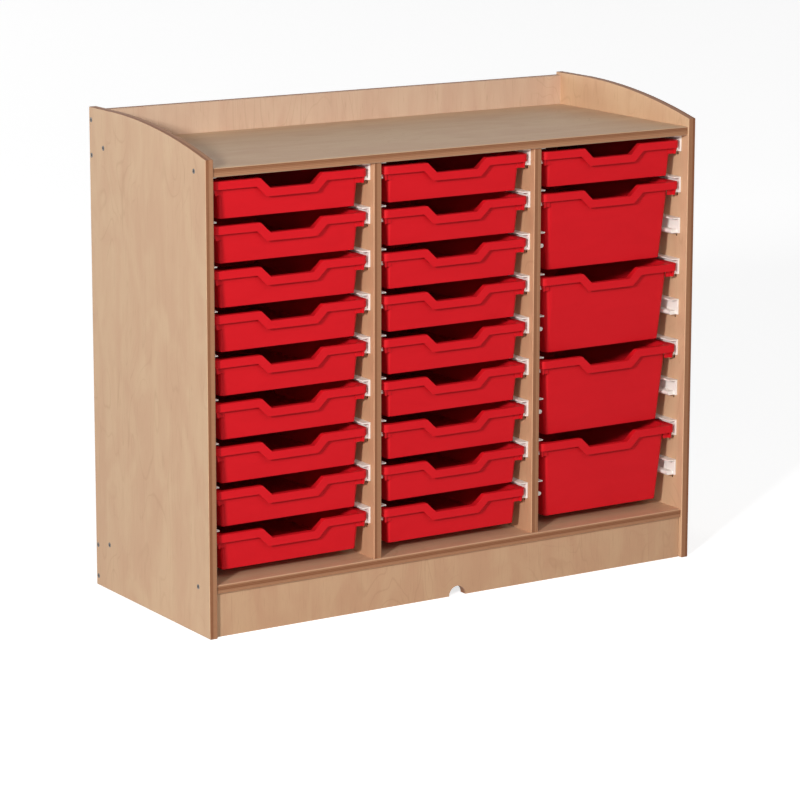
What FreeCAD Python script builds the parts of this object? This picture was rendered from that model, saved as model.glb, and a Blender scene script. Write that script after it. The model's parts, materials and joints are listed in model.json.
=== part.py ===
"""Three-bay plywood tray unit: a carcass on a plinth, with moulded trays that slide in plastic runners.

Millimetres. X runs along the front, Y from the front to the back and Z up. The origin is on the floor
under the middle of the unit. Every size below goes into the sheet, and every piece is bound to it.
"""
import FreeCAD
import Part
import Sketcher
import math
import os

SIZES = {
    # carcass boards
    "ply": 18.0,
    "board_setback": 4.0,
    "divider_setback": 10.0,
    "edge_ease": 1.5,
    "plinth_height": 88.0,
    "plinth_setback": 10.0,
    "plinth_end_gap": 1.0,
    "notch_radius": 20.0,
    "side_front_rise": 17.0,
    "side_rear_rise": 69.0,
    "side_rear_flat": 80.0,
    "gallery_drop": 6.0,
    "gallery_foot": 31.0,
    "back_thickness": 8.0,
    "back_recess": 2.0,
    "groove_depth": 8.0,
    "groove_gap": 0.1,
    # moulded trays
    "tray_rim_width": 348.0,
    "tray_rim_depth": 430.0,
    "tray_rim_corner": 12.0,
    "tray_lip": 16.0,
    "tray_skin": 2.5,
    "tray_side_flange": 12.5,
    "tray_front_overhang": 9.5,
    "tray_rear_overhang": 12.0,
    "tray_foot_corner": 4.0,
    "tray_draft": 6.2,
    "tray_height": 75.0,
    "tray_gap": 12.0,
    "tray_setback": 16.0,
    "tray_rear_gap": 6.0,
    "tray_side_gap": 5.0,
    "tray_floor_gap": 21.0,
    "handle_mouth": 140.0,
    "handle_floor": 96.0,
    "handle_dip": 21.0,
    "handle_flare": 9.0,
    "stop_inset": 4.0,
    "stop_width": 20.0,
    "stop_cheek": 6.5,
    "stop_drop": 12.5,
    "stop_slant": 3.0,
    "stop_gap": 0.3,
    # runners
    "runner_setback": 23.0,
    "runner_rear_gap": 9.0,
    "runner_top_gap": 2.0,
    "runner_web": 4.0,
    "runner_flange": 3.0,
    "flange_reach": 19.0,
    "rim_headroom": 6.0,
    "rail_height": 8.5,
    "rail_margin": 8.5,
    "rail_setback": 6.0,
    "slide_gap": 0.3,
    # fasteners
    "screw_shank": 7.0,
    "screw_head": 10.0,
    "screw_head_height": 2.0,
    "screw_length": 50.0,
    "screw_front_inset": 46.0,
    "screw_rear_inset": 60.0,
    "screw_board_inset": 20.0,
    "bore_gap": 0.1,
    "bore_end_gap": 1.0,
}
LEVELS = 9
# screws and trays repeat, so their rounds are drawn with few flats
SCREW_SIDES = 8
CORNER_FLATS = 3
# how far a corner's flats lie from its middle, as a share of its radius
FLAT_REACH = math.cos(math.pi / 4 / CORNER_FLATS)
BAYS = ("left", "middle", "right")
# the level of each tray's rim, counted from the top, and how many levels the tray takes up
TRAY_LEVELS = {
    "left": [(level, 1) for level in range(LEVELS)],
    "middle": [(level, 1) for level in range(LEVELS)],
    "right": [(0, 1)] + [(level, 2) for level in range(1, LEVELS, 2)],
}


class Size:
    """A size that carries its present number and the sheet formula that gives it."""

    def __init__(self, number, formula):
        self.number = number
        self.formula = formula

    @staticmethod
    def of(item):
        """Takes a plain number as a size."""
        return item if isinstance(item, Size) else Size(float(item), repr(float(item)))

    def __add__(self, other):
        other = Size.of(other)
        return Size(self.number + other.number, f"({self.formula} + {other.formula})")

    def __sub__(self, other):
        other = Size.of(other)
        return Size(self.number - other.number, f"({self.formula} - {other.formula})")

    def __mul__(self, other):
        other = Size.of(other)
        return Size(self.number * other.number, f"({self.formula} * {other.formula})")

    def __truediv__(self, other):
        other = Size.of(other)
        return Size(self.number / other.number, f"({self.formula} / {other.formula})")

    def __neg__(self):
        return self * -1

    def tangent(self):
        """Gives the tangent of a size in degrees."""
        return Size(math.tan(math.radians(self.number)), f"tan({self.formula})")

    def __radd__(self, other):
        return Size.of(other) + self

    def __rsub__(self, other):
        return Size.of(other) - self

    def __rmul__(self, other):
        return Size.of(other) * self


class Sheet:
    """The sheet of driving sizes; each size is read as an attribute."""

    def __init__(self, document):
        self.table = document.addObject("Spreadsheet::Sheet", "Sizes")
        for row, (name, number) in enumerate(SIZES.items(), start=1):
            self.table.set(f"A{row}", name)
            self.table.set(f"B{row}", str(number))
            self.table.setAlias(f"B{row}", name)
        document.recompute()

    def __getattr__(self, name):
        return Size(float(self.table.get(name)), f"Sizes.{name}")


def bind(item, prop, size):
    """Binds one property to a size, or sets it where the size is a plain number."""
    if isinstance(size, Size):
        item.setExpression(prop, size.formula)
    else:
        setattr(item, prop, size)


class Outline:
    """One closed outline in a sketch, with every corner placed by two sizes."""

    def __init__(self, sketch, start):
        self.sketch = sketch
        self.corners = [tuple(Size.of(value) for value in start)]
        self.arcs = {}

    def line(self, *corners):
        """Goes straight on through the given corners."""
        self.corners += [tuple(Size.of(value) for value in corner) for corner in corners]
        return self

    def arc(self, corner, centre_axis, centre, clockwise=False):
        """Goes round to a corner about a centre whose one coordinate is given."""
        self.arcs[len(self.corners) - 1] = (centre_axis, Size.of(centre), clockwise)
        return self.line(corner)

    def close(self):
        """Draws the outline and its constraints."""
        spots = [FreeCAD.Vector(x.number, y.number, 0) for x, y in self.corners]
        edges = []
        for index, spot in enumerate(spots):
            following = spots[(index + 1) % len(spots)]
            if index in self.arcs:
                edges.append(self.bend(spot, following, *self.arcs[index]))
            else:
                edges.append(Part.LineSegment(spot, following))
        numbers = self.sketch.addGeometry(edges, False)
        ends = [self.ends(number, spot) for number, spot in zip(numbers, spots)]
        joins = []
        ties = []
        for index, number in enumerate(numbers):
            joins.append(Sketcher.Constraint("Coincident", numbers[index - 1], ends[index - 1][1],
                                             number, ends[index][0]))
            ties += [(number, ends[index][0], axis, size) for axis, size in zip("XY", self.corners[index])]
            if index in self.arcs:
                ties.append((number, 3, *self.arcs[index][:2]))
        self.sketch.addConstraint(joins)
        self.tie(ties)

    def tie(self, ties):
        """Ties coordinates of the outline's points to sizes."""
        start = self.sketch.ConstraintCount
        self.sketch.addConstraint([Sketcher.Constraint(f"Distance{axis}", -1, 1, geometry, point, size.number)
                                   for geometry, point, axis, size in ties])
        for index, (geometry, point, axis, size) in enumerate(ties, start=start):
            self.sketch.setExpression(f"Constraints[{index}]", size.formula)

    @staticmethod
    def bend(start, end, axis, centre, clockwise):
        """Gives the arc from start to end; its centre is as far from one as from the other."""
        chord = end - start
        middle = (start + end) * 0.5
        if axis == "X":
            x = centre.number
            y = middle.y - (x - middle.x) * chord.x / chord.y
        else:
            y = centre.number
            x = middle.x - (y - middle.y) * chord.y / chord.x
        hub = FreeCAD.Vector(x, y, 0)
        first, last = (end, start) if clockwise else (start, end)
        ring = Part.Circle(hub, FreeCAD.Vector(0, 0, 1), (start - hub).Length)
        angles = [math.atan2(spot.y - y, spot.x - x) for spot in (first, last)]
        return Part.ArcOfCircle(ring, *angles)

    def ends(self, number, spot):
        """Gives an edge's own numbers for its first and last point along the outline."""
        forwards = (self.sketch.getPoint(number, 1) - spot).Length < 1e-6
        return (1, 2) if forwards else (2, 1)


def polygon(sketch, corners):
    """Draws a closed outline of straight lines."""
    Outline(sketch, corners[0]).line(*corners[1:]).close()


def rectangle(sketch, low, high):
    """Draws a rectangle between two opposite corners."""
    polygon(sketch, [low, (high[0], low[1]), high, (low[0], high[1])])


def moulded_rectangle(sketch, low, high, radius):
    """Draws a rectangle with four equal round corners, each made of a few flats."""
    hubs = [(high[0] - radius, high[1] - radius), (low[0] + radius, high[1] - radius),
            (low[0] + radius, low[1] + radius), (high[0] - radius, low[1] + radius)]
    corners = []
    for quarter, (x, y) in enumerate(hubs):
        for step in range(CORNER_FLATS + 1):
            turn = math.pi / 2 * (quarter + step / CORNER_FLATS)
            corners.append((x + radius * math.cos(turn), y + radius * math.sin(turn)))
    polygon(sketch, corners)


def rings(sketch, centres, diameter):
    """Draws round outlines of one diameter, each as a many-sided ring."""
    turns = [2 * math.pi * (step + 0.5) / SCREW_SIDES for step in range(SCREW_SIDES)]
    for x, y in centres:
        polygon(sketch, [(x + diameter / 2 * math.cos(turn), y + diameter / 2 * math.sin(turn)) for turn in turns])


class Piece:
    """One body of the unit, with sketches on its own origin planes."""

    def __init__(self, document, label, at, many=False):
        self.document = document
        self.body = document.addObject("PartDesign::Body", label)
        self.body.Label = label
        self.body.AllowCompound = many
        for axis, size in zip("xyz", at):
            bind(self.body, f"Placement.Base.{axis}", Size.of(size))

    def sketch(self, name, plane, lift=0.0):
        """Starts a sketch on an origin plane, or beside it by the lift along the plane's normal."""
        face = next(item for item in self.body.Origin.OriginFeatures if item.Role == plane)
        sketch = self.body.newObject("Sketcher::SketchObject", name)
        sketch.AttachmentSupport = (face, [""])
        sketch.MapMode = "FlatFace"
        bind(sketch, "AttachmentOffset.Base.z", Size.of(lift))
        return sketch

    def pad(self, sketch, length, backwards=False):
        """Adds the sketch's outline along its plane's normal, or against it."""
        feature = self.body.newObject("PartDesign::Pad", f"{sketch.Name}_pad")
        return self.extrude(feature, sketch, length, backwards)

    def cut(self, sketch, length, backwards=False):
        """Takes the sketch's outline away against its plane's normal, or along it."""
        before = self.volume()
        feature = self.body.newObject("PartDesign::Pocket", f"{sketch.Name}_cut")
        self.extrude(feature, sketch, length, backwards)
        if before - self.volume() < 1.0:
            raise RuntimeError(f"{self.body.Label}: {sketch.Name} cuts nothing")
        return feature

    def extrude(self, feature, sketch, length, backwards):
        """Sets the outline, length and direction of a pad or a pocket."""
        feature.Profile = sketch
        bind(feature, "Length", length)
        feature.Reversed = backwards
        return feature

    def volume(self):
        """Gives the body's present volume."""
        self.document.recompute()
        return self.body.Shape.Volume

    def bevel_edges(self, size, wanted):
        """Bevels the last feature's edges that pass the test."""
        self.document.recompute()
        base = self.body.Tip
        names = [f"Edge{number}" for number, edge in enumerate(base.Shape.Edges, start=1) if wanted(edge)]
        feature = self.body.newObject("PartDesign::Chamfer", f"{self.body.Name}_ease")
        feature.Base = (base, names)
        bind(feature, "Size", size)
        return feature

    def draft_walls(self, angle, outer):
        """Leans the upright outer or inner walls in towards the foot, about the body's XY plane."""
        self.document.recompute()
        base = self.body.Tip
        middle = base.Shape.CenterOfMass
        names = []
        for number, face in enumerate(base.Shape.Faces, start=1):
            normal = face.normalAt(0, 0)
            looks_out = normal.dot(face.CenterOfMass - middle) > 0
            if abs(normal.z) < 1e-6 and looks_out == outer:
                names.append(f"Face{number}")
        level = next(item for item in self.body.Origin.OriginFeatures if item.Role == "XY_Plane")
        feature = self.body.newObject("PartDesign::Draft", f"{self.body.Name}_draft")
        feature.Base = (base, names)
        feature.NeutralPlane = (level, [""])
        feature.Reversed = outer
        bind(feature, "Angle", angle)
        return feature

    def repeat(self, features, axis, length, count):
        """Repeats features along an origin axis, over the given length."""
        self.document.recompute()
        line = next(item for item in self.body.Origin.OriginFeatures if item.Role == axis)
        pattern = self.body.newObject("PartDesign::LinearPattern", f"{self.body.Name}_levels")
        pattern.Originals = features
        pattern.Direction = (line, [""])
        bind(pattern, "Length", length)
        pattern.Occurrences = count
        self.body.Tip = pattern
        return pattern


class Unit:
    """The whole tray unit: sizes that several pieces share, and one method for each kind of piece."""

    def __init__(self, document):
        self.document = document
        self.sheet = size = Sheet(document)
        self.bay = size.tray_rim_width + (size.runner_web + size.tray_side_gap) * 2
        self.inner_width = self.bay * len(BAYS) + size.ply * (len(BAYS) - 1)
        self.half = self.inner_width / 2
        self.back_y = size.tray_setback + size.tray_rim_depth + size.tray_rear_gap
        self.rail_y = self.back_y + size.back_thickness + size.back_recess
        self.depth = self.rail_y + size.ply
        self.front = -(self.depth / 2)
        self.pitch = size.tray_height + size.tray_gap
        self.runner_top = size.rim_headroom + size.runner_flange
        self.inner_foot = size.plinth_height + size.ply
        self.last_rim = self.inner_foot + size.tray_floor_gap + size.tray_height
        self.first_rim = self.last_rim + self.pitch * (LEVELS - 1)
        self.inner_top = self.first_rim + self.runner_top + size.runner_top_gap
        self.worktop = self.inner_top + size.ply
        self.rail_top = -(size.tray_lip + size.slide_gap)
        self.rail_foot = self.rail_top - size.rail_height
        self.gallery_top = self.worktop + size.side_rear_rise - size.gallery_drop
        self.gallery_low = self.inner_top - size.gallery_foot
        self.shank_bore = size.screw_shank + size.bore_gap * 2

    def piece(self, label, x, y, z, many=False):
        """Starts a body at a place measured from the middle, the front edges and the floor."""
        return Piece(self.document, label, (x, self.front + y, z), many)

    def board_screws(self):
        """Gives the places, from the front and the floor, of the screws into the top and bottom panels."""
        size = self.sheet
        rows = (self.inner_foot - size.ply / 2, self.inner_top + size.ply / 2)
        columns = (size.screw_front_inset, self.depth - size.screw_rear_inset)
        return [(y, z) for z in rows for y in columns]

    def rail_screws(self):
        """Gives the places of the screws into the rear rail and the gallery board."""
        inset = self.sheet.screw_board_inset
        y = self.rail_y + self.sheet.ply / 2
        heights = (inset, self.inner_foot - inset, self.gallery_low + inset, self.gallery_top - inset)
        return [(y, z) for z in heights]

    def side_panel(self, label, sign):
        """Builds an outer side with its swept top edge."""
        size = self.sheet
        left = self.half * sign if sign > 0 else -self.half - size.ply
        inner_lift = 0.0 if sign > 0 else size.ply
        outer_lift = size.ply if sign > 0 else 0.0
        panel = self.piece(label, left, 0.0, 0.0)
        front_top = self.worktop + size.side_front_rise
        rear_top = self.worktop + size.side_rear_rise
        sweep = self.depth - size.side_rear_flat
        outline = Outline(panel.sketch("outline", "YZ_Plane"), (0, 0))
        outline.line((self.depth, 0), (self.depth, rear_top), (sweep, rear_top))
        outline.arc((0, front_top), "X", sweep).close()
        panel.pad(outline.sketch, size.ply)
        panel.bevel_edges(size.edge_ease, lambda edge: edge.BoundBox.XLength < 0.1)
        bores = panel.sketch("screw_bores", "YZ_Plane")
        rings(bores, self.board_screws() + self.rail_screws(), self.shank_bore)
        panel.cut(bores, size.ply, backwards=True)
        seats = panel.sketch("screw_seats", "YZ_Plane", outer_lift)
        rings(seats, self.board_screws() + self.rail_screws(), size.screw_head + size.bore_gap * 2)
        panel.cut(seats, size.screw_head_height, backwards=sign < 0)
        groove = panel.sketch("back_groove", "YZ_Plane", inner_lift)
        rectangle(groove, *self.groove_span())
        panel.cut(groove, size.groove_depth, backwards=sign > 0)

    def groove_span(self):
        """Gives the low and high corner, from the front and the floor, of the back panel's groove."""
        size = self.sheet
        low = (self.back_y - size.groove_gap, self.inner_foot - size.groove_depth)
        high = (self.back_y + size.back_thickness + size.groove_gap, self.inner_top + size.groove_depth)
        return low, high

    def flat_board(self, label, z, groove_up):
        """Builds the top or the bottom panel, which lie between the sides."""
        size = self.sheet
        board = self.piece(label, 0.0, 0.0, z)
        outline = board.sketch("outline", "XY_Plane")
        rectangle(outline, (-self.half, size.board_setback), (self.half, self.rail_y))
        board.pad(outline, size.ply)
        board.bevel_edges(size.edge_ease, lambda edge: edge.BoundBox.YMax < size.board_setback.number + 0.1
                          and edge.BoundBox.XLength > size.ply.number)
        lift = size.ply if groove_up else 0.0
        low, high = self.groove_span()
        groove = board.sketch("back_groove", "XY_Plane", lift)
        rectangle(groove, (-self.half, low[0]), (self.half, high[0]))
        board.cut(groove, size.groove_depth, backwards=not groove_up)
        columns = [(y, size.ply / 2) for y in (size.screw_front_inset, self.depth - size.screw_rear_inset)]
        self.end_bores(board, columns)

    def end_bores(self, board, places):
        """Bores both ends of a board for the screws that come through the sides."""
        depth = self.sheet.screw_length - self.sheet.ply + self.sheet.bore_end_gap
        for name, lift, inwards in (("left_bores", -self.half, True), ("right_bores", self.half, False)):
            bores = board.sketch(name, "YZ_Plane", lift)
            rings(bores, places, self.shank_bore)
            board.cut(bores, depth, backwards=inwards)

    def divider_left(self, number):
        """Gives the left face of a divider, counted from 1."""
        return -self.half + self.bay * number + self.sheet.ply * (number - 1)

    def divider(self, label, number):
        """Builds an upright between two bays."""
        size = self.sheet
        panel = self.piece(label, self.divider_left(number), 0.0, 0.0)
        outline = panel.sketch("outline", "YZ_Plane")
        rectangle(outline, (size.divider_setback, self.inner_foot), (self.back_y, self.inner_top))
        panel.pad(outline, size.ply)
        panel.bevel_edges(size.edge_ease, lambda edge: edge.BoundBox.YMax < size.divider_setback.number + 0.1
                          and edge.BoundBox.ZLength > size.ply.number)

    def cross_board(self, label, low, high, screws):
        """Builds the gallery board or the rear rail, which stand across the back."""
        size = self.sheet
        board = self.piece(label, 0.0, self.rail_y, 0.0)
        outline = board.sketch("outline", "XZ_Plane")
        rectangle(outline, (-self.half, low), (self.half, high))
        board.pad(outline, size.ply, backwards=True)
        board.bevel_edges(size.edge_ease, lambda edge: edge.BoundBox.ZMin > high.number - 0.1
                          and edge.BoundBox.XLength > size.ply.number)
        self.end_bores(board, [(size.ply / 2, z) for y, z in screws])

    def back_panel(self, label):
        """Builds the thin back that stands in the grooves."""
        size = self.sheet
        tongue = size.groove_depth - size.bore_end_gap / 2
        panel = self.piece(label, 0.0, self.back_y, 0.0)
        outline = panel.sketch("outline", "XZ_Plane")
        rectangle(outline, (-self.half - tongue, self.inner_foot - tongue), (self.half + tongue, self.inner_top + tongue))
        panel.pad(outline, size.back_thickness, backwards=True)

    def front_plinth(self, label):
        """Builds the front plinth with its half-round cable notch."""
        size = self.sheet
        reach = self.half - size.plinth_end_gap
        notch = size.notch_radius
        plinth = self.piece(label, 0.0, size.plinth_setback, 0.0)
        outline = Outline(plinth.sketch("outline", "XZ_Plane"), (-reach, 0))
        outline.line((-notch, 0))
        outline.arc((notch, 0), "Y", 0.0, clockwise=True)
        outline.line((reach, 0), (reach, size.plinth_height), (-reach, size.plinth_height))
        outline.close()
        plinth.pad(outline.sketch, size.ply, backwards=True)

    def runners(self, label, wall, sign):
        """Builds the nine runners on one wall of a bay; the sign is the way that they stand out of it."""
        size = self.sheet
        reach = size.runner_web + size.tray_side_gap + size.tray_skin + size.rail_margin
        nose = size.rail_height / 3
        rail_top = self.rail_top
        rail_foot = self.rail_foot
        rack = self.piece(label, wall, size.runner_setback, self.last_rim, many=True)
        profile = Outline(rack.sketch("profile", "XZ_Plane"), (0, self.runner_top))
        profile.line((size.flange_reach * sign, self.runner_top), (size.flange_reach * sign, size.rim_headroom))
        profile.line((size.runner_web * sign, size.rim_headroom), (size.runner_web * sign, rail_top))
        profile.line(((reach - nose) * sign, rail_top), (reach * sign, rail_top - nose))
        profile.line((reach * sign, rail_foot + nose), ((reach - nose) * sign, rail_foot))
        profile.line((0, rail_foot)).close()
        length = self.back_y - size.runner_setback - size.runner_rear_gap
        rail = rack.pad(profile.sketch, length, backwards=True)
        step = rack.sketch("rail_step", "XZ_Plane")
        polygon(step, [(size.runner_web * sign, rail_top), (reach * sign, rail_top),
                       (reach * sign, rail_foot), (size.runner_web * sign, rail_foot)])
        stop = rack.cut(step, size.rail_setback)
        rack.repeat([rail, stop], "Z_Axis", self.pitch * (LEVELS - 1), LEVELS)

    def screws(self, label, sign):
        """Builds the screws that hold one side."""
        size = self.sheet
        group = self.piece(label, (self.half + size.ply) * sign, 0.0, 0.0, many=True)
        places = self.board_screws() + self.rail_screws()
        shanks = group.sketch("shanks", "YZ_Plane")
        rings(shanks, places, size.screw_shank)
        group.pad(shanks, size.screw_length, backwards=sign > 0)
        heads = group.sketch("heads", "YZ_Plane")
        rings(heads, places, size.screw_head)
        group.pad(heads, size.screw_head_height, backwards=sign > 0)

    def tray_master(self, label, x, z, height):
        """Builds a tray of the given height as one moulding, from its rim down."""
        size = self.sheet
        tray = self.piece(label, x, size.tray_setback, z)
        skin = size.tray_skin
        half = size.tray_rim_width / 2
        wide = half - size.tray_side_flange
        near = size.tray_front_overhang
        far = size.tray_rim_depth - size.tray_rear_overhang
        corner = size.tray_foot_corner + height * size.tray_draft.tangent() / FLAT_REACH
        mouth = tray.sketch("body_mouth", "XY_Plane")
        moulded_rectangle(mouth, (-wide, near), (wide, far), corner)
        tray.pad(mouth, height, backwards=True)
        inside = tray.sketch("inside", "XY_Plane")
        moulded_rectangle(inside, (-wide + skin, near + skin), (wide - skin, far - skin), corner - skin)
        tray.cut(inside, height - skin)
        tray.draft_walls(size.tray_draft, outer=False)
        tray.draft_walls(size.tray_draft, outer=True)
        rim_low = (-half, Size.of(0))
        rim_high = (half, size.tray_rim_depth)
        seam = skin / 2
        flange = tray.sketch("flange", "XY_Plane")
        moulded_rectangle(flange, rim_low, rim_high, size.tray_rim_corner)
        moulded_rectangle(flange, (-wide + seam, near + seam), (wide - seam, far - seam), corner - seam)
        tray.pad(flange, skin, backwards=True)
        lip = tray.sketch("lip", "XY_Plane")
        moulded_rectangle(lip, rim_low, rim_high, size.tray_rim_corner)
        moulded_rectangle(lip, (skin - half, skin), (half - skin, size.tray_rim_depth - skin),
                          size.tray_rim_corner - skin)
        tray.pad(lip, size.tray_lip, backwards=True)
        self.handle_skirt(tray)
        self.handle_dip(tray)
        self.runner_stops(tray)
        return tray

    def handle_skirt(self, tray):
        """Adds the deeper stretch of the front lip under the handle."""
        size = self.sheet
        low = size.tray_lip + size.handle_dip
        upper = size.handle_mouth / 2 + size.handle_flare
        lower = size.handle_floor / 2 + size.handle_flare
        skirt = tray.sketch("handle_skirt", "XZ_Plane")
        polygon(skirt, [(-upper, -size.tray_lip), (-lower, -low), (lower, -low), (upper, -size.tray_lip)])
        tray.pad(skirt, size.tray_skin, backwards=True)

    def handle_dip(self, tray):
        """Lowers the front rim in the middle: cuts the dip and lines it with a bent strip of rim."""
        size = self.sheet
        skin = size.tray_skin
        mouth = size.handle_mouth / 2
        floor = size.handle_floor / 2
        dip = size.handle_dip
        spread = skin / 2
        gap = tray.sketch("handle_gap", "XZ_Plane")
        polygon(gap, [(-mouth, skin), (-mouth, 0), (-floor, -dip), (floor, -dip), (mouth, 0), (mouth, skin)])
        tray.cut(gap, size.tray_front_overhang + skin * 3)
        strip = tray.sketch("handle_strip", "XZ_Plane")
        polygon(strip, [(-mouth, 0), (-floor, -dip), (floor, -dip), (mouth, 0), (mouth + spread, -skin),
                        (floor + spread, -dip - skin), (-floor - spread, -dip - skin), (-mouth - spread, -skin)])
        tray.pad(strip, size.tray_front_overhang + skin, backwards=True)

    def runner_stops(self, tray):
        """Adds the two corner lugs that meet the runners' front ends when the tray is home."""
        size = self.sheet
        outer = size.tray_rim_width / 2 - size.stop_inset
        front = size.tray_rim_corner / 2
        reach = size.runner_setback + size.rail_setback - size.tray_setback - size.stop_gap
        webs = tray.sketch("stop_webs", "XZ_Plane", size.tray_skin - reach)
        cheeks = tray.sketch("stop_cheeks", "XZ_Plane", -front)
        top = -size.tray_skin / 2
        low = -size.tray_lip - size.stop_drop
        for sketch, width in ((webs, size.stop_width), (cheeks, size.stop_cheek)):
            for sign in (-1, 1):
                inner = (outer - width) * sign
                polygon(sketch, [(inner, top), (outer * sign, top), (outer * sign, -size.tray_lip),
                                 ((outer - size.stop_slant) * sign, low), (inner, low)])
        tray.pad(webs, size.tray_skin, backwards=True)
        tray.pad(cheeks, reach - front, backwards=True)

    def tray_copy(self, label, master, x, z):
        """Builds a tray as a copy of one of the same height."""
        tray = self.piece(label, x, self.sheet.tray_setback, z)
        base = tray.body.newObject("PartDesign::FeatureBase", f"{label}_moulding")
        base.BaseFeature = master.body
        tray.body.Tip = base
        return tray

    def trays(self):
        """Builds every tray at its level, one moulding for each height."""
        masters = {}
        for number, bay in enumerate(BAYS):
            x = -self.half + self.bay / 2 + (self.bay + self.sheet.ply) * number
            for place, (level, levels) in enumerate(TRAY_LEVELS[bay], start=1):
                label = f"{bay}_tray_{place}"
                z = self.first_rim - self.pitch * level
                if levels in masters:
                    self.tray_copy(label, masters[levels], x, z)
                else:
                    height = self.sheet.tray_height + self.pitch * (levels - 1)
                    masters[levels] = self.tray_master(label, x, z, height)

    def build(self):
        """Builds every piece of the unit."""
        size = self.sheet
        self.side_panel("left_side_panel", -1)
        self.side_panel("right_side_panel", 1)
        self.flat_board("top_panel", self.inner_top, groove_up=False)
        self.flat_board("bottom_panel", size.plinth_height, groove_up=True)
        self.divider("left_divider", 1)
        self.divider("right_divider", 2)
        rail_screws = self.rail_screws()
        self.cross_board("rear_rail", Size.of(0), self.inner_foot, rail_screws[:2])
        self.cross_board("gallery_board", self.gallery_low, self.gallery_top, rail_screws[2:])
        self.back_panel("back_panel")
        self.front_plinth("front_plinth")
        for number, bay in enumerate(BAYS):
            wall = -self.half + (self.bay + size.ply) * number
            self.runners(f"{bay}_bay_left_runners", wall, 1)
            self.runners(f"{bay}_bay_right_runners", wall + self.bay, -1)
        self.screws("left_screws", -1)
        self.screws("right_screws", 1)
        self.trays()


def check(document):
    """Stops where a feature failed or a piece has no sound shape."""
    for item in document.Objects:
        if {"Invalid", "Error"} & set(item.State):
            raise RuntimeError(f"{item.Label} failed: {item.State}")
    for body in pieces(document):
        if body.Shape.isNull() or not body.Shape.isValid():
            raise RuntimeError(f"{body.Label} has no sound shape")


def pieces(document):
    """Gives the bodies that are written out."""
    return [item for item in document.Objects if item.TypeId == "PartDesign::Body"]


def main():
    """Builds the unit and writes one file for each piece."""
    document = FreeCAD.newDocument("tray_unit")
    Unit(document).build()
    document.recompute()
    check(document)
    os.makedirs("parts", exist_ok=True)
    for body in pieces(document):
        body.Shape.exportStep(os.path.join("parts", f"{body.Label}.step"))


main()
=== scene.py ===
"""Dresses the plywood tray unit: birch boards, moulded red trays, white runners and dark screws.

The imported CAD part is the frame. Most boards keep their solids and get a ply finish. The two sides, the
trays, the runners and the screws are drawn again in the same places, with eased edges or sockets. Lengths
are in metres.
"""
import json
import logging
import math
from dataclasses import dataclass, field
from enum import Enum
from typing import Any, Sequence

import bmesh
import bpy
from mathutils import Matrix, Vector

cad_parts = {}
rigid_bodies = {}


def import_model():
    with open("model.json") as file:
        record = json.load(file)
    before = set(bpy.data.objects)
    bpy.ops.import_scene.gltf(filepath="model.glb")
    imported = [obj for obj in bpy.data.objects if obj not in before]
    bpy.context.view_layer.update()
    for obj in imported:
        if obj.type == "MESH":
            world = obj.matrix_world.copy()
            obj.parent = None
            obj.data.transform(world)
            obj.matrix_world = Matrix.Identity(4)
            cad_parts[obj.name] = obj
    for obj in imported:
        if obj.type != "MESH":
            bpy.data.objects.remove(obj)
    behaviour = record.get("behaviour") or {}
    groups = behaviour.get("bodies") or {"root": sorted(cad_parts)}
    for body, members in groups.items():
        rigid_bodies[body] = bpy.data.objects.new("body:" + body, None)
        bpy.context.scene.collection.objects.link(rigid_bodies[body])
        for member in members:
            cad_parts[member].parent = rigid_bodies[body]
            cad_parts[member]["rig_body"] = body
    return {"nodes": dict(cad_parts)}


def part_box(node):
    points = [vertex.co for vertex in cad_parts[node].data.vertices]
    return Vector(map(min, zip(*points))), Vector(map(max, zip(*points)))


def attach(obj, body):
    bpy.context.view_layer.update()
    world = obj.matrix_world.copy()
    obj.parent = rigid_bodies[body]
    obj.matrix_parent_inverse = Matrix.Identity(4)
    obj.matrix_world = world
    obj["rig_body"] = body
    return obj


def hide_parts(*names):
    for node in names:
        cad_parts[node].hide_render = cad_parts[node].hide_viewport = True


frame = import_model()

LOG = logging.getLogger("tray_unit")
CARCASS_BODY = "carcass"
IMAGE_SIDE = 800.0
SENSOR = 36.0
QUARTER_TURN = math.radians(90.0)
MERGE_WITHIN = 1e-6
FLAT_WITHIN = math.radians(1.0)
CRISP_PAST = math.radians(35.0)
WHITE = (1.0, 1.0, 1.0)
BLACK = (0.0, 0.0, 0.0)
Colour = tuple[float, float, float]
Triple = tuple[float, float, float]
Span = tuple[float, float]


class Axis(Enum):
    """A direction of the unit: along the front, from front to back, or up."""

    ACROSS = 0
    DEEP = 1
    UP = 2


class Side(Enum):
    """An outer side of the unit, with the way along X that it faces."""

    LEFT = -1.0
    RIGHT = 1.0


class Slot(Enum):
    """A material slot of the record."""

    BIRCH_PLY = "birch_ply"
    THIN_BIRCH_PLY = "thin_birch_ply"
    RED_PLASTIC = "red_plastic"
    RUNNER_PLASTIC = "runner_plastic"
    SCREW_STEEL = "screw_steel"


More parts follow.
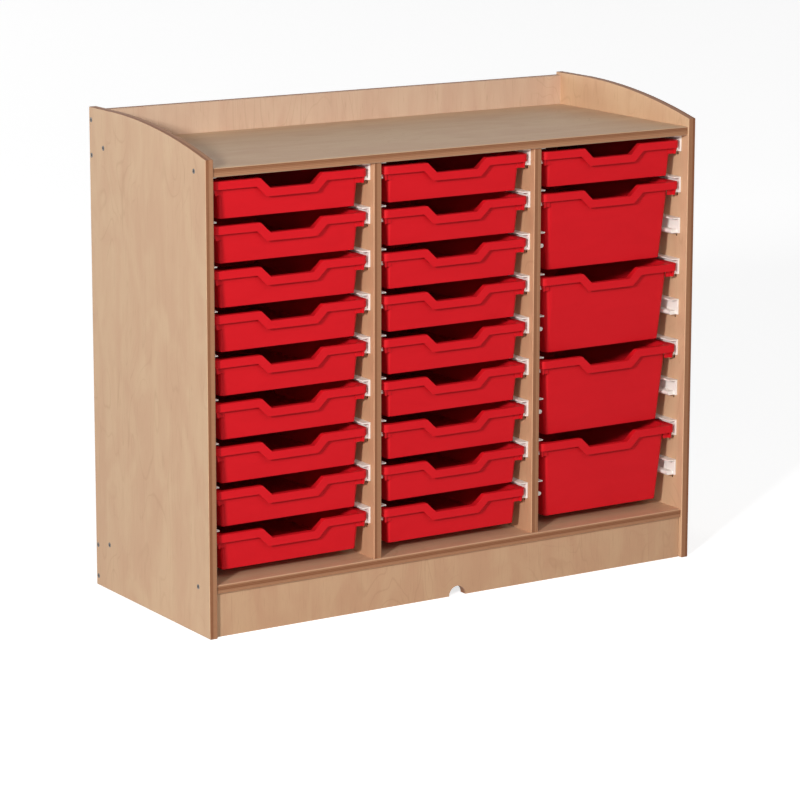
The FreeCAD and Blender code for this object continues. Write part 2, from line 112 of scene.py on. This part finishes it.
class Value:
    """A number in a node tree; sums on it add Math nodes."""

    def __init__(self, nodes: "Nodes", socket: bpy.types.NodeSocket) -> None:
        """Keeps the tree and the socket that gives the number."""
        self.nodes = nodes
        self.socket = socket

    def math(self, operation: str, *others: Any) -> "Value":
        """Adds one Math node, on this value and the numbers or values that follow it."""
        inputs = dict(enumerate((self, *others)))
        return self.nodes.value("ShaderNodeMath", 0, {"operation": operation}, inputs)

    def __add__(self, other: Any) -> "Value":
        """Gives a sum."""
        return self.math("ADD", other)

    def __radd__(self, other: float) -> "Value":
        """Gives a sum with a plain number."""
        return self.math("ADD", other)

    def __sub__(self, other: Any) -> "Value":
        """Gives a difference."""
        return self.math("SUBTRACT", other)

    def __rsub__(self, other: float) -> "Value":
        """Gives a difference from a plain number."""
        return self * -1.0 + other

    def __mul__(self, other: Any) -> "Value":
        """Gives a product."""
        return self.math("MULTIPLY", other)

    def __rmul__(self, other: float) -> "Value":
        """Gives a product with a plain number."""
        return self.math("MULTIPLY", other)

    def __abs__(self) -> "Value":
        """Gives the size without the sign."""
        return self.math("ABSOLUTE")

    def ramp(self, low: float, high: float) -> "Value":
        """Steps smoothly from 0 to 1.

        Args:
            low: the number up to which the step is 0.
            high: the number from which the step is 1.

        Returns:
            The step.
        """
        settings = {"interpolation_type": "SMOOTHSTEP"}
        inputs = {"Value": self, "From Min": low, "From Max": high}
        return self.nodes.value("ShaderNodeMapRange", "Result", settings, inputs)


class Nodes:
    """A node tree under construction."""

    def __init__(self, tree: bpy.types.NodeTree) -> None:
        """Empties the tree and keeps it."""
        self.tree = tree
        tree.nodes.clear()

    def node(self, kind: str, settings: dict[str, Any] | None = None,
             inputs: dict[Any, Any] | None = None) -> bpy.types.Node:
        """Adds a node.

        Args:
            kind: the node's type.
            settings: the node's own properties, set first.
            inputs: numbers, colours, values or sockets for its input sockets.

        Returns:
            The new node.
        """
        made = self.tree.nodes.new(kind)
        for name, setting in (settings or {}).items():
            setattr(made, name, setting)
        for name, given in (inputs or {}).items():
            self.put(made.inputs[name], given)
        return made

    def put(self, socket: bpy.types.NodeSocket, given: Any) -> None:
        """Sets or links one input socket.

        Args:
            socket: the input socket.
            given: the number, colour, value or socket that feeds it.
        """
        if isinstance(given, Value):
            self.tree.links.new(given.socket, socket)
        elif isinstance(given, bpy.types.NodeSocket):
            self.tree.links.new(given, socket)
        elif isinstance(given, tuple) and len(given) == 3 and socket.type == "RGBA":
            socket.default_value = (*given, 1.0)
        else:
            socket.default_value = given

    def value(self, kind: str, output: Any, settings: dict[str, Any] | None = None,
              inputs: dict[Any, Any] | None = None) -> Value:
        """Adds a node and gives one of its outputs as a value."""
        return Value(self, self.node(kind, settings, inputs).outputs[output])

    def background_seen(self) -> Value:
        """Tells the rays that show the background: the camera's, and those that gloss or glass sends on.

        Returns:
            1 on those rays, and 0 on all others.
        """
        path = self.node("ShaderNodeLightPath").outputs
        camera, gloss, glass = (Value(self, path[name]) for name in
                                ("Is Camera Ray", "Is Glossy Ray", "Is Transmission Ray"))
        return camera.math("MAXIMUM", gloss).math("MAXIMUM", glass)


@dataclass(frozen=True)
class Noise:
    """A noise pattern: its fineness along its own three axes, its shift on the piece and its character."""

    scale: Triple
    shift: Triple = (0.0, 0.0, 0.0)
    detail: float = 3.0
    roughness: float = 0.55
    distortion: float = 0.0


@dataclass(frozen=True)
class Marks:
    """Marks where a noise pattern is high: the span from none to full, and how much a full one shows."""

    noise: Noise
    span: Span
    depth: float

    def on(self, height: Value) -> Value:
        """Gives how much the marks show, from the pattern's height."""
        return height.ramp(*self.span) * self.depth


@dataclass(frozen=True)
class Relief:
    """How far a height pattern stands up, and how strongly it shows."""

    distance: float
    strength: float


class Shader(Nodes):
    """One material under construction, with a Principled surface."""

    def __init__(self, name: str) -> None:
        """Starts the material with its surface and output.

        Args:
            name: the material's name.
        """
        self.material = bpy.data.materials.new(name)
        self.material.use_nodes = True
        super().__init__(self.material.node_tree)
        self.surface = self.node("ShaderNodeBsdfPrincipled")
        self.node("ShaderNodeOutputMaterial", None, {"Surface": self.surface.outputs[0]})

    def coordinates(self, scale: Triple = (1.0, 1.0, 1.0),
                    shift: Triple = (0.0, 0.0, 0.0)) -> bpy.types.NodeSocket:
        """Gives the piece's own coordinates.

        Args:
            scale: how much they are scaled along each axis.
            shift: how far they are shifted after that.

        Returns:
            The coordinates' socket.
        """
        own = self.node("ShaderNodeTexCoord").outputs["Object"]
        inputs = {"Vector": own, "Scale": scale, "Location": shift}
        return self.node("ShaderNodeMapping", None, inputs).outputs[0]

    def component(self, vector: bpy.types.NodeSocket, axis: Axis) -> Value:
        """Gives one component of a vector."""
        return self.value("ShaderNodeSeparateXYZ", axis.value, None, {0: vector})

    def facing(self, axis: Axis) -> Value:
        """Gives how squarely the surface faces along an axis, from 0 to 1."""
        normal = self.node("ShaderNodeTexCoord").outputs["Normal"]
        return abs(self.component(normal, axis))

    def noise(self, pattern: Noise, grain: Axis = Axis.ACROSS) -> Value:
        """Lays a noise pattern on the piece.

        Args:
            pattern: the noise pattern.
            grain: the piece's axis that the pattern's first axis lies along.

        Returns:
            The pattern's height, from about 0 to 1.
        """
        scale = tuple(pattern.scale[axis.value - grain.value] for axis in Axis)
        inputs = {"Vector": self.coordinates(scale, pattern.shift), "Scale": 1.0, "Detail": pattern.detail,
                  "Roughness": pattern.roughness, "Distortion": pattern.distortion}
        return self.value("ShaderNodeTexNoise", 0, {"noise_dimensions": "3D"}, inputs)

    def marks(self, marks: Marks, grain: Axis = Axis.ACROSS) -> Value:
        """Gives how much marks show, with their pattern laid along a grain."""
        return marks.on(self.noise(marks.noise, grain))

    def blend(self, share: Any, first: Any, second: Any) -> bpy.types.NodeSocket:
        """Mixes two colours.

        Args:
            share: how much of the second colour there is.
            first: the first colour.
            second: the second colour.

        Returns:
            The mixed colour's socket.
        """
        made = self.node("ShaderNodeMix", {"data_type": "RGBA"})
        self.put(made.inputs["Factor"], share)
        colours = [socket for socket in made.inputs if socket.type == "RGBA"]
        self.put(colours[0], first)
        self.put(colours[1], second)
        return next(socket for socket in made.outputs if socket.type == "RGBA")

    def bump(self, height: Value, relief: Relief) -> None:
        """Feeds the surface's normal from a height pattern.

        Args:
            height: the height pattern.
            relief: how far it stands up.
        """
        inputs = {"Strength": relief.strength, "Distance": relief.distance, "Height": height}
        made = self.node("ShaderNodeBump", None, inputs)
        self.put(self.surface.inputs["Normal"], made.outputs[0])

    def finish(self, **inputs: Any) -> bpy.types.Material:
        """Sets the surface's inputs.

        Args:
            inputs: what feeds each input, named with underscores for spaces.

        Returns:
            The finished material.
        """
        for name, given in inputs.items():
            self.put(self.surface.inputs[name.replace("_", " ")], given)
        return self.material


@dataclass(frozen=True)
class Board:
    """How one board lies and looks.

    The axis through it and its veneer's grain come first. Then follow the dark heart's place in the layers,
    painted edge shade, a veneer tint of painted light or shade, its slot, and whether it is drawn again.
    """

    through: Axis
    grain: Axis
    heart: float = 0.5
    # Painted shade on all the edges, then a veneer tint of painted light or shade.
    painted_edge_shade: float = 0.0
    painted_lighting_tint: Colour = WHITE
    slot: Slot = Slot.BIRCH_PLY
    redrawn: bool = False

    def with_painted_lighting(self, colour: Colour) -> Colour:
        """Gives a colour with the board's tint of painted light or shade on it."""
        return tuple(part * share for part, share in zip(colour, self.painted_lighting_tint))


@dataclass(frozen=True)
class BirchVeneer:
    """Birch veneer: a pale and rosy mottle, with brown rings, lines, wisps and fibres along the grain."""

    pale: Colour = (0.590, 0.405, 0.258)
    rosy: Colour = (0.550, 0.352, 0.224)
    brown: Colour = (0.400, 0.235, 0.135)
    mottle: Noise = Noise((5.0, 13.0, 13.0), roughness=0.5, distortion=1.2)
    streaks: Noise = Noise((0.7, 24.0, 24.0), (3.1, 5.7, 1.3))
    streak_share: float = 0.35
    rosy_span: Span = (0.36, 0.64)
    growth: Noise = Noise((3.0, 8.0, 8.0), (2.3, 1.1, 4.9), detail=1.5, roughness=0.45, distortion=0.7)
    ring_count: float = 15.0
    ring_span: Span = (0.40, 0.50)
    ring_patches: Marks = Marks(Noise((4.0, 6.0, 6.0), (7.7, 3.9, 0.6), detail=2.0), (0.42, 0.60), 0.26)
    lines: Marks = Marks(Noise((2.6, 150.0, 150.0), (1.7, 0.3, 2.9), roughness=0.6, distortion=0.8),
                         (0.60, 0.78), 0.18)
    wisps: Marks = Marks(Noise((16.0, 330.0, 330.0), (0.4, 0.9, 0.2), detail=2.0, roughness=0.5,
                               distortion=1.0), (0.60, 0.72), 0.30)
    fibres: Marks = Marks(Noise((18.0, 750.0, 750.0), roughness=0.7), (0.50, 0.80), 0.18)

    def make(self, shader: Shader, board: Board) -> tuple[bpy.types.NodeSocket, Value]:
        """Makes the veneer of one board's faces.

        Args:
            shader: the board's material.
            board: how the board lies and looks.

        Returns:
            The colour's socket and the fibres' height.
        """
        # The board's tint paints light or shade onto the veneer's colours.
        pale, rosy, brown = (board.with_painted_lighting(colour) for colour in (self.pale, self.rosy, self.brown))
        mottle, streaks = (shader.noise(pattern, board.grain) for pattern in (self.mottle, self.streaks))
        flush = mottle * (1.0 - self.streak_share) + streaks * self.streak_share
        tone = shader.blend(flush.ramp(*self.rosy_span), pale, rosy)
        fibres = shader.noise(self.fibres.noise, board.grain)
        for share in (self.rings(shader, board.grain), shader.marks(self.lines, board.grain),
                      shader.marks(self.wisps, board.grain), self.fibres.on(fibres)):
            tone = shader.blend(share, tone, brown)
        return tone, fibres

    def rings(self, shader: Shader, grain: Axis) -> Value:
        """Makes the thin lines where the knife cut through the tree's rings, which come and go.

        Args:
            shader: the board's material.
            grain: the axis of the veneer's grain.

        Returns:
            How much the lines show.
        """
        turns = shader.noise(self.growth, grain) * self.ring_count
        line = abs(turns.math("FRACT") - 0.5).ramp(*self.ring_span)
        return line * shader.marks(self.ring_patches, grain)


@dataclass(frozen=True)
class PlyEdge:
    """Plywood's bare edge: wavering layers, every other one darker, round a dark heart."""

    light: Colour = (0.390, 0.194, 0.101)
    dark: Colour = (0.215, 0.080, 0.033)
    layers: int = 11
    waver: Noise = Noise((26.0, 26.0, 26.0), detail=2.0)
    waver_reach: float = 0.5
    grain: Noise = Noise((90.0, 90.0, 260.0), roughness=0.65)
    grain_share: float = 0.5
    second_share: float = 0.45
    chance_share: float = 0.5
    chance_step: float = 1000.0
    paleness: float = 0.3
    layer_share: float = 0.50
    heart_share: float = 0.60
    heart_span: Span = (0.10, 0.30)

    def make(self, shader: Shader, board: Board, low: float,
             thickness: float) -> tuple[bpy.types.NodeSocket, Value]:
        """Makes the layers on one board's edges.

        Args:
            shader: the board's material.
            board: how the board lies and looks.
            low: where the board's lower face lies on the axis through it.
            thickness: the board's thickness.

        Returns:
            The colour's socket and the layers' height.
        """
        across = (shader.component(shader.coordinates(), board.through) - low) * (1.0 / thickness)
        waver = shader.noise(self.waver) * self.waver_reach - self.waver_reach / 2
        layer = (across * self.layers + waver).math("FLOOR")
        chance = shader.value("ShaderNodeTexWhiteNoise", "Value", {"noise_dimensions": "1D"},
                              {"W": layer + low * self.chance_step})
        second = layer.math("FLOORED_MODULO", 2.0)
        darkness = second * self.second_share + chance * self.chance_share
        darkness = darkness + shader.noise(self.grain) * self.grain_share - self.paleness
        shade = darkness.ramp(0.0, 1.0)
        heart = 1 - abs(across - board.heart).ramp(*self.heart_span)
        # The board's stain adds painted shade to all its edges.
        share = shade * self.layer_share + heart * self.heart_share + board.painted_edge_shade
        return shader.blend(share.math("MINIMUM", 1.0), self.light, self.dark), shade


@dataclass(frozen=True)
class BirchPly:
    """Lacquered birch plywood: veneer on the faces and bare layers on the edges."""

    veneer: BirchVeneer = BirchVeneer()
    edge: PlyEdge = PlyEdge()
    face_span: Span = (0.55, 0.75)
    relief: Relief = Relief(distance=0.0004, strength=0.35)
    layer_relief: float = 0.5
    roughness: float = 0.46
    fibre_roughness: float = 0.12
    gloss: float = 0.22

    def make(self, name: str, board: Board, low: float, thickness: float) -> bpy.types.Material:
        """Makes the finish for one board.

        Args:
            name: the material's name.
            board: how the board lies and looks.
            low: where the board's lower face lies on the axis through it.
            thickness: the board's thickness.

        Returns:
            The material.
        """
        shader = Shader(name)
        face_colour, fibres = self.veneer.make(shader, board)
        edge_colour, layers = self.edge.make(shader, board, low, thickness)
        face = shader.facing(board.through).ramp(*self.face_span)
        shader.bump(fibres * face + layers * (1 - face) * self.layer_relief, self.relief)
        return shader.finish(Base_Color=shader.blend(face, edge_colour, face_colour),
                             Roughness=self.roughness + fibres * self.fibre_roughness,
                             Specular_IOR_Level=self.gloss)


@dataclass(frozen=True)
class MouldedPlastic:
    """Moulded plastic with a fine grain, faint flow marks and scuffs."""

    colour: Colour
    deep: Colour
    roughness: float
    gloss: float
    flow: Marks = Marks(Noise((9.0, 9.0, 26.0), distortion=0.8), (0.30, 0.75), 0.35)
    scuffs: Marks = Marks(Noise((14.0, 160.0, 220.0), (0.7, 0.2, 0.5), roughness=0.65), (0.62, 0.75), 0.14)
    grain: Noise = Noise((1500.0, 1500.0, 1500.0), detail=2.0, roughness=0.6)
    grain_roughness: float = 0.06
    relief: Relief = Relief(distance=0.00012, strength=0.4)

    def make(self, name: str) -> bpy.types.Material:
        """Makes the finish.

        Args:
            name: the material's name.

        Returns:
            The material.
        """
        shader = Shader(name)
        grain = shader.noise(self.grain)
        shader.bump(grain, self.relief)
        tone = shader.blend(shader.marks(self.flow), self.colour, self.deep)
        rough = self.roughness + shader.marks(self.scuffs) + grain * self.grain_roughness
        return shader.finish(Base_Color=tone, Roughness=rough, Specular_IOR_Level=self.gloss)


@dataclass(frozen=True)
class DarkSteel:
    """Dark plated steel with rubbed spots."""

    colour: Colour = (0.110, 0.105, 0.100)
    rubbed: Colour = (0.330, 0.320, 0.305)
    spots: Noise = Noise((420.0, 420.0, 420.0), roughness=0.6)
    rubbed_span: Span = (0.45, 0.70)
    relief: Relief = Relief(distance=0.0001, strength=0.3)
    roughness: float = 0.38
    spot_roughness: float = 0.2
    metal: float = 0.6

    def make(self, name: str) -> bpy.types.Material:
        """Makes the finish.

        Args:
            name: the material's name.

        Returns:
            The material.
        """
        shader = Shader(name)
        spots = shader.noise(self.spots)
        shader.bump(spots, self.relief)
        tone = shader.blend(spots.ramp(*self.rubbed_span), self.colour, self.rubbed)
        rough = self.roughness + spots * self.spot_roughness
        return shader.finish(Base_Color=tone, Roughness=rough, Metallic=self.metal)


@dataclass(frozen=True)
class PaleFloor:
    """The plain pale floor under the unit, which glows white where the background is seen."""

    colour: Colour = (0.62, 0.62, 0.62)
    cool: Colour = (0.60, 0.605, 0.61)
    clouds: Noise = Noise((0.8, 0.8, 0.8), detail=2.0)
    cool_share: float = 0.3
    roughness: float = 0.9
    cloud_roughness: float = 0.05
    gloss: float = 0.1
    glow: float = 0.74

    def make(self, name: str) -> bpy.types.Material:
        """Makes the finish.

        Args:
            name: the material's name.

        Returns:
            The material.
        """
        shader = Shader(name)
        clouds = shader.noise(self.clouds)
        return shader.finish(Base_Color=shader.blend(clouds * self.cool_share, self.colour, self.cool),
                             Roughness=self.roughness + clouds * self.cloud_roughness,
                             Specular_IOR_Level=self.gloss,
                             Emission_Color=shader.blend(shader.background_seen(), BLACK, WHITE),
                             Emission_Strength=self.glow)


@dataclass(frozen=True)
class Eased:
    """A CAD node drawn again with eased outer edges and smooth rounds."""

    width: float = 0.0006
    segments: int = 2
    sharp: float = math.radians(40.0)

    def copy(self, node: str, name: str) -> bpy.types.Object:
        """Makes the eased copy of a node and puts it in the node's place.

        Args:
            node: the CAD node.
            name: the new piece's name.

        Returns:
            The new piece, riding on the node's body.
        """
        source = frame["nodes"][node]
        shape = bmesh.new()
        shape.from_mesh(source.data)
        bmesh.ops.remove_doubles(shape, verts=shape.verts, dist=MERGE_WITHIN)
        bmesh.ops.dissolve_limit(shape, angle_limit=FLAT_WITHIN, verts=shape.verts, edges=shape.edges)
        outer = [edge for edge in shape.edges if edge.calc_face_angle_signed(0.0) > self.sharp]
        bmesh.ops.bevel(shape, geom=outer, offset=self.width, offset_type="OFFSET", segments=self.segments,
                        profile=0.5, affect="EDGES", material=-1, clamp_overlap=False)
        for edge in shape.edges:
            edge.smooth = edge.calc_face_angle_signed(0.0) > -self.sharp
        piece = new_piece(name, shape)
        modifier = piece.modifiers.new("even_normals", "WEIGHTED_NORMAL")
        modifier.keep_sharp = True
        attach(piece, source["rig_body"])
        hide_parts(node)
        return piece


def new_piece(name: str, shape: bmesh.types.BMesh) -> bpy.types.Object:
    """Makes a smooth-shaded object of a bmesh and frees the bmesh.

    Args:
        name: the object's name.
        shape: the mesh under construction, with its place in its vertices.

    Returns:
        The new object, in the scene.
    """
    for face in shape.faces:
        face.smooth = True
    mesh = bpy.data.meshes.new(name)
    shape.to_mesh(mesh)
    shape.free()
    piece = bpy.data.objects.new(name, mesh)
    bpy.context.scene.collection.objects.link(piece)
    return piece


def crisp_piece(name: str, shape: bmesh.types.BMesh) -> bpy.types.Object:
    """Makes an object with crisp rims that rides on the carcass.

    Args:
        name: the object's name.
        shape: the mesh under construction, which is freed.

    Returns:
        The new object, in the scene.
    """
    piece = new_piece(name, shape)
    piece.data.set_sharp_from_angle(angle=CRISP_PAST)
    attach(piece, CARCASS_BODY)
    return piece


def add_disc(shape: bmesh.types.BMesh, middle: Vector, radius: float, thickness: float,
             sides: int) -> list[bmesh.types.BMVert]:
    """Adds a round disc whose faces look along X.

    Args:
        shape: the mesh that the disc goes into.
        middle: the disc's middle.
        radius: the disc's radius.
        thickness: the disc's thickness.
        sides: how many sides draw the round.

    Returns:
        The disc's vertices.
    """
    place = Matrix.Translation(middle) @ Matrix.Rotation(QUARTER_TURN, 4, "Y")
    return bmesh.ops.create_cone(shape, cap_ends=True, segments=sides, radius1=radius, radius2=radius,
                                 depth=thickness, matrix=place)["verts"]


def dress(piece: bpy.types.Object, finish: bpy.types.Material, slot: Slot) -> None:
    """Gives a piece one finish.

    Args:
        piece: the piece, new or a CAD node's.
        finish: the material.
        slot: the record's slot that it stands for; not used.
    """
    piece.data.materials.clear()
    piece.data.materials.append(finish)
    LOG.info("dressed %s", piece.name)


def solids(node: str) -> list[tuple[Vector, Vector]]:
    """Finds the separate solids of a CAD node.

    Args:
        node: the CAD node.

    Returns:
        Each solid's low and high corner, in the order of their places.
    """
    shape = bmesh.new()
    shape.from_mesh(frame["nodes"][node].data)
    bmesh.ops.remove_doubles(shape, verts=shape.verts, dist=MERGE_WITHIN)
    waiting = set(shape.verts)
    boxes = []
    while waiting:
        front = [waiting.pop()]
        found = list(front)
        while front:
            near = {edge.other_vert(vert) for vert in front for edge in vert.link_edges}
            front = [vert for vert in near if vert in waiting]
            waiting.difference_update(front)
            found += front
        boxes.append(tuple(Vector(pick(vert.co[axis.value] for vert in found) for axis in Axis)
                           for pick in (min, max)))
    shape.free()
    return sorted(boxes, key=lambda box: tuple(box[0]))


@dataclass
class Carcass:
    """The plywood boards."""

    ply: BirchPly = BirchPly()
    ease: Eased = Eased()
    boards: dict[str, Board] = field(default_factory=lambda: {
        # Painted light: the left side's tint darkens it and the right side's tint brightens it against the
        # lamps; the right side's stain is painted shade on its edges.
        "left_side_panel": Board(Axis.ACROSS, Axis.UP, heart=0.22, painted_lighting_tint=(0.94, 0.92, 0.89), redrawn=True),
        "right_side_panel": Board(Axis.ACROSS, Axis.UP, heart=0.82, painted_edge_shade=0.30, painted_lighting_tint=(1.09, 1.04, 0.98),
                                  redrawn=True),
        "top_panel": Board(Axis.UP, Axis.ACROSS, heart=0.74),
        # The bottom's and the dividers' warm tints paint the red light bounced off the trays.
        "bottom_panel": Board(Axis.UP, Axis.ACROSS, heart=0.60, painted_lighting_tint=(1.02, 0.92, 0.88)),
        "left_divider": Board(Axis.ACROSS, Axis.UP, heart=0.20, painted_lighting_tint=(0.98, 0.82, 0.73)),
        "right_divider": Board(Axis.ACROSS, Axis.UP, heart=0.30, painted_lighting_tint=(0.96, 0.80, 0.71)),
        "rear_rail": Board(Axis.DEEP, Axis.ACROSS),
        # The gallery's tint is painted light, brighter and cooler.
        "gallery_board": Board(Axis.DEEP, Axis.UP, painted_lighting_tint=(1.13, 1.16, 1.28)),
        "back_panel": Board(Axis.DEEP, Axis.UP, slot=Slot.THIN_BIRCH_PLY),
        # The plinth's darker tint is painted shade.
        "front_plinth": Board(Axis.DEEP, Axis.UP, painted_lighting_tint=(0.93, 0.85, 0.79)),
    })

    def build(self) -> None:
        """Dresses every board, and draws the sides with their swept tops again."""
        for node, board in self.boards.items():
            piece = self.ease.copy(node, f"{node}_board") if board.redrawn else frame["nodes"][node]
            dress(piece, self.finish(node, board), board.slot)

    def finish(self, node: str, board: Board) -> bpy.types.Material:
        """Makes one board's finish from where the board lies."""
        low, high = (corner[board.through.value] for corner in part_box(node))
        return self.ply.make(f"{node}_birch", board, low, high - low)


@dataclass
class Trays:
    """The moulded trays."""

    plastic: MouldedPlastic = MouldedPlastic(
        colour=(0.630, 0.0085, 0.0150), deep=(0.560, 0.0065, 0.0120), roughness=0.40, gloss=0.12)
    ease: Eased = Eased()

    def build(self) -> None:
        """Draws every tray again with eased edges."""
        finish = self.plastic.make("red_tray_plastic")
        for node in sorted(name for name in frame["nodes"] if "_tray_" in name):
            dress(self.ease.copy(node, f"{node}_moulding"), finish, Slot.RED_PLASTIC)


@dataclass
class Runners:
    """The white runners, and near-black discs below their front ends that paint the shade in small holes in
    the boards.
    """

    plastic: MouldedPlastic = MouldedPlastic(
        colour=(0.860, 0.810, 0.755), deep=(0.800, 0.740, 0.670), roughness=0.45, gloss=0.3)
    # A near-black finish: painted shade standing in for the dark inside of each hole.
    hole_shade: MouldedPlastic = MouldedPlastic(
        colour=(0.050, 0.026, 0.014), deep=(0.022, 0.011, 0.006), roughness=0.85, gloss=0.05)
    ease: Eased = Eased(segments=1)
    hole_radius: float = 0.002
    hole_sides: int = 20
    hole_inset: float = 0.012
    hole_drop: float = 0.005
    hole_depth: float = 0.0003

    def build(self) -> None:
        """Draws every runner again with eased edges, and the painted shade of the holes below it."""
        finish = self.plastic.make("white_runner_plastic")
        hole_shade = self.hole_shade.make("bare_hole")
        for node in sorted(name for name in frame["nodes"] if name.endswith("_runners")):
            dress(self.ease.copy(node, f"{node}_mouldings"), finish, Slot.RUNNER_PLASTIC)
            dress(self.holes(node), hole_shade, Slot.BIRCH_PLY)

    def holes(self, node: str) -> bpy.types.Object:
        """Draws dark discs that paint the shade of the holes below the runners on one wall.

        Args:
            node: the runners' CAD node.

        Returns:
            The new piece.
        """
        shape = bmesh.new()
        for low, high in solids(node):
            wall = low.x if node.endswith("left_runners") else high.x
            middle = Vector((wall, low.y + self.hole_inset, low.z - self.hole_drop))
            # Each thin dark disc is painted shade in place of a hole's dark inside.
            add_disc(shape, middle, self.hole_radius, self.hole_depth, self.hole_sides)
        return crisp_piece(f"{node}_holes", shape)


@dataclass
class Screws:
    """The socket screws in the outer sides."""

    steel: DarkSteel = DarkSteel()
    head_radius: float = 0.005
    head_height: float = 0.002
    head_sides: int = 24
    socket_radius: float = 0.0026
    socket_depth: float = 0.0016
    socket_sides: int = 6

    def build(self) -> None:
        """Draws the screw heads of both sides."""
        finish = self.steel.make("dark_screw_steel")
        for side in Side:
            node = f"{side.name.lower()}_screws"
            shape = bmesh.new()
            for low, high in solids(node):
                middle = (low + high) / 2
                middle.x = low.x if side is Side.LEFT else high.x
                self.head(shape, middle, side)
            bmesh.ops.recalc_face_normals(shape, faces=shape.faces)
            piece = crisp_piece(f"{node}_heads", shape)
            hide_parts(node)
            dress(piece, finish, Slot.SCREW_STEEL)

    def head(self, shape: bmesh.types.BMesh, place: Vector, side: Side) -> None:
        """Adds one head with its six-sided socket.

        Args:
            shape: the mesh that the head goes into.
            place: the middle of the head's outer face.
            side: the side of the unit that the head faces out from.
        """
        into = Vector((-side.value, 0.0, 0.0))
        middle = place + into * self.head_height / 2
        made = add_disc(shape, middle, self.head_radius, self.head_height, self.head_sides)
        cap = min({face for vert in made for face in vert.link_faces},
                  key=lambda face: face.calc_center_median().dot(into))
        bmesh.ops.inset_individual(shape, faces=[cap], thickness=self.head_radius - self.socket_radius,
                                   use_even_offset=True)
        for vert in cap.verts:
            self.to_socket(vert, place)
        floor = bmesh.ops.extrude_discrete_faces(shape, faces=[cap])["faces"][0]
        bmesh.ops.translate(shape, verts=floor.verts, vec=into * self.socket_depth)

    def to_socket(self, vert: bmesh.types.BMVert, middle: Vector) -> None:
        """Moves a corner of the round out or in to the socket's outline.

        Args:
            vert: the corner.
            middle: the middle of the head's outer face.
        """
        half_side = math.pi / self.socket_sides
        spoke = vert.co - middle
        turned = math.atan2(spoke.z, spoke.y) % (half_side * 2) - half_side
        spoke.length = self.socket_radius * math.cos(half_side) / math.cos(turned)
        vert.co = middle + spoke


@dataclass(frozen=True)
class Lamp:
    """One soft square lamp, at angles to the left of the front and up, that faces the unit."""

    name: str
    turn: float
    rise: float
    away: float
    side: float
    power: float

    def hang(self, target: Vector) -> None:
        """Hangs the lamp at its distance from the point that it faces.

        Args:
            target: that point.
        """
        data = bpy.data.lights.new(self.name, "AREA")
        data.size = self.side
        data.energy = self.power
        lamp = bpy.data.objects.new(self.name, data)
        level = math.cos(self.rise)
        way = Vector((-math.sin(self.turn) * level, -math.cos(self.turn) * level, math.sin(self.rise)))
        lamp.location = target + way * self.away
        lamp.rotation_euler = (-way).to_track_quat("-Z", "Y").to_euler()
        bpy.context.scene.collection.objects.link(lamp)


@dataclass
class Studio:
    """The floor, the lamps, the world and the camera."""

    ground: PaleFloor = PaleFloor()
    floor_reach: float = 30.0
    fill: float = 0.22
    target: Triple = (0.0, 0.0, 0.5)
    lamps: Sequence[Lamp] = (
        Lamp("key", math.radians(53.0), math.radians(16.0), away=10.0, side=0.8, power=750.0),
        Lamp("front", math.radians(14.0), math.radians(30.0), away=3.6, side=1.8, power=27.0),
        Lamp("near_camera", math.radians(31.0), math.radians(10.5), away=6.4, side=0.5, power=18.0),
        Lamp("rear", math.radians(160.0), math.radians(10.0), away=20.0, side=6.0, power=1000.0),
    )
    eye: Triple = (-3.5406, -5.5527, 1.8117)
    yaw: float = math.radians(32.213)
    pitch: float = math.radians(-10.959)
    focal_pixels: float = 3231.3
    axis_pixel: tuple[float, float] = (380.0, 320.0)
    view_reach: float = 200.0

    def build(self) -> None:
        """Builds the stage round the unit."""
        self.floor()
        self.world()
        for lamp in self.lamps:
            lamp.hang(Vector(self.target))
        self.camera()

    def floor(self) -> None:
        """Lays the floor."""
        shape = bmesh.new()
        bmesh.ops.create_grid(shape, x_segments=1, y_segments=1, size=self.floor_reach)
        floor = new_piece("floor", shape)
        floor.data.materials.append(self.ground.make("pale_floor"))

    def world(self) -> None:
        """Makes a soft even sky that looks white where the background is seen."""
        world = bpy.data.worlds.new("soft_sky")
        world.use_nodes = True
        nodes = Nodes(world.node_tree)
        strength = nodes.background_seen() * (1.0 - self.fill) + self.fill
        sky = nodes.node("ShaderNodeBackground", None, {"Color": WHITE, "Strength": strength})
        nodes.node("ShaderNodeOutputWorld", None, {"Surface": sky.outputs[0]})
        bpy.context.scene.world = world

    def camera(self) -> None:
        """Sets the camera at the photograph's viewing angle."""
        data = bpy.data.cameras.new("camera")
        data.sensor_width = SENSOR
        data.lens = self.focal_pixels / IMAGE_SIDE * SENSOR
        data.shift_x = 0.5 - self.axis_pixel[0] / IMAGE_SIDE
        data.shift_y = self.axis_pixel[1] / IMAGE_SIDE - 0.5
        data.clip_end = self.view_reach
        camera = bpy.data.objects.new("camera", data)
        turn = Matrix.Rotation(-self.yaw, 4, "Z") @ Matrix.Rotation(QUARTER_TURN + self.pitch, 4, "X")
        camera.matrix_world = Matrix.Translation(self.eye) @ turn
        bpy.context.scene.collection.objects.link(camera)
        bpy.context.scene.camera = camera


def main() -> None:
    """Builds the dressed unit and its stage."""
    logging.basicConfig(level=logging.INFO)
    bpy.context.scene.view_settings.view_transform = "Standard"
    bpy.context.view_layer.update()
    for part in (Carcass(), Trays(), Runners(), Screws(), Studio()):
        part.build()
        LOG.info("built %s", type(part).__name__)
    bpy.context.view_layer.update()


if __name__ == "__main__":
    main()
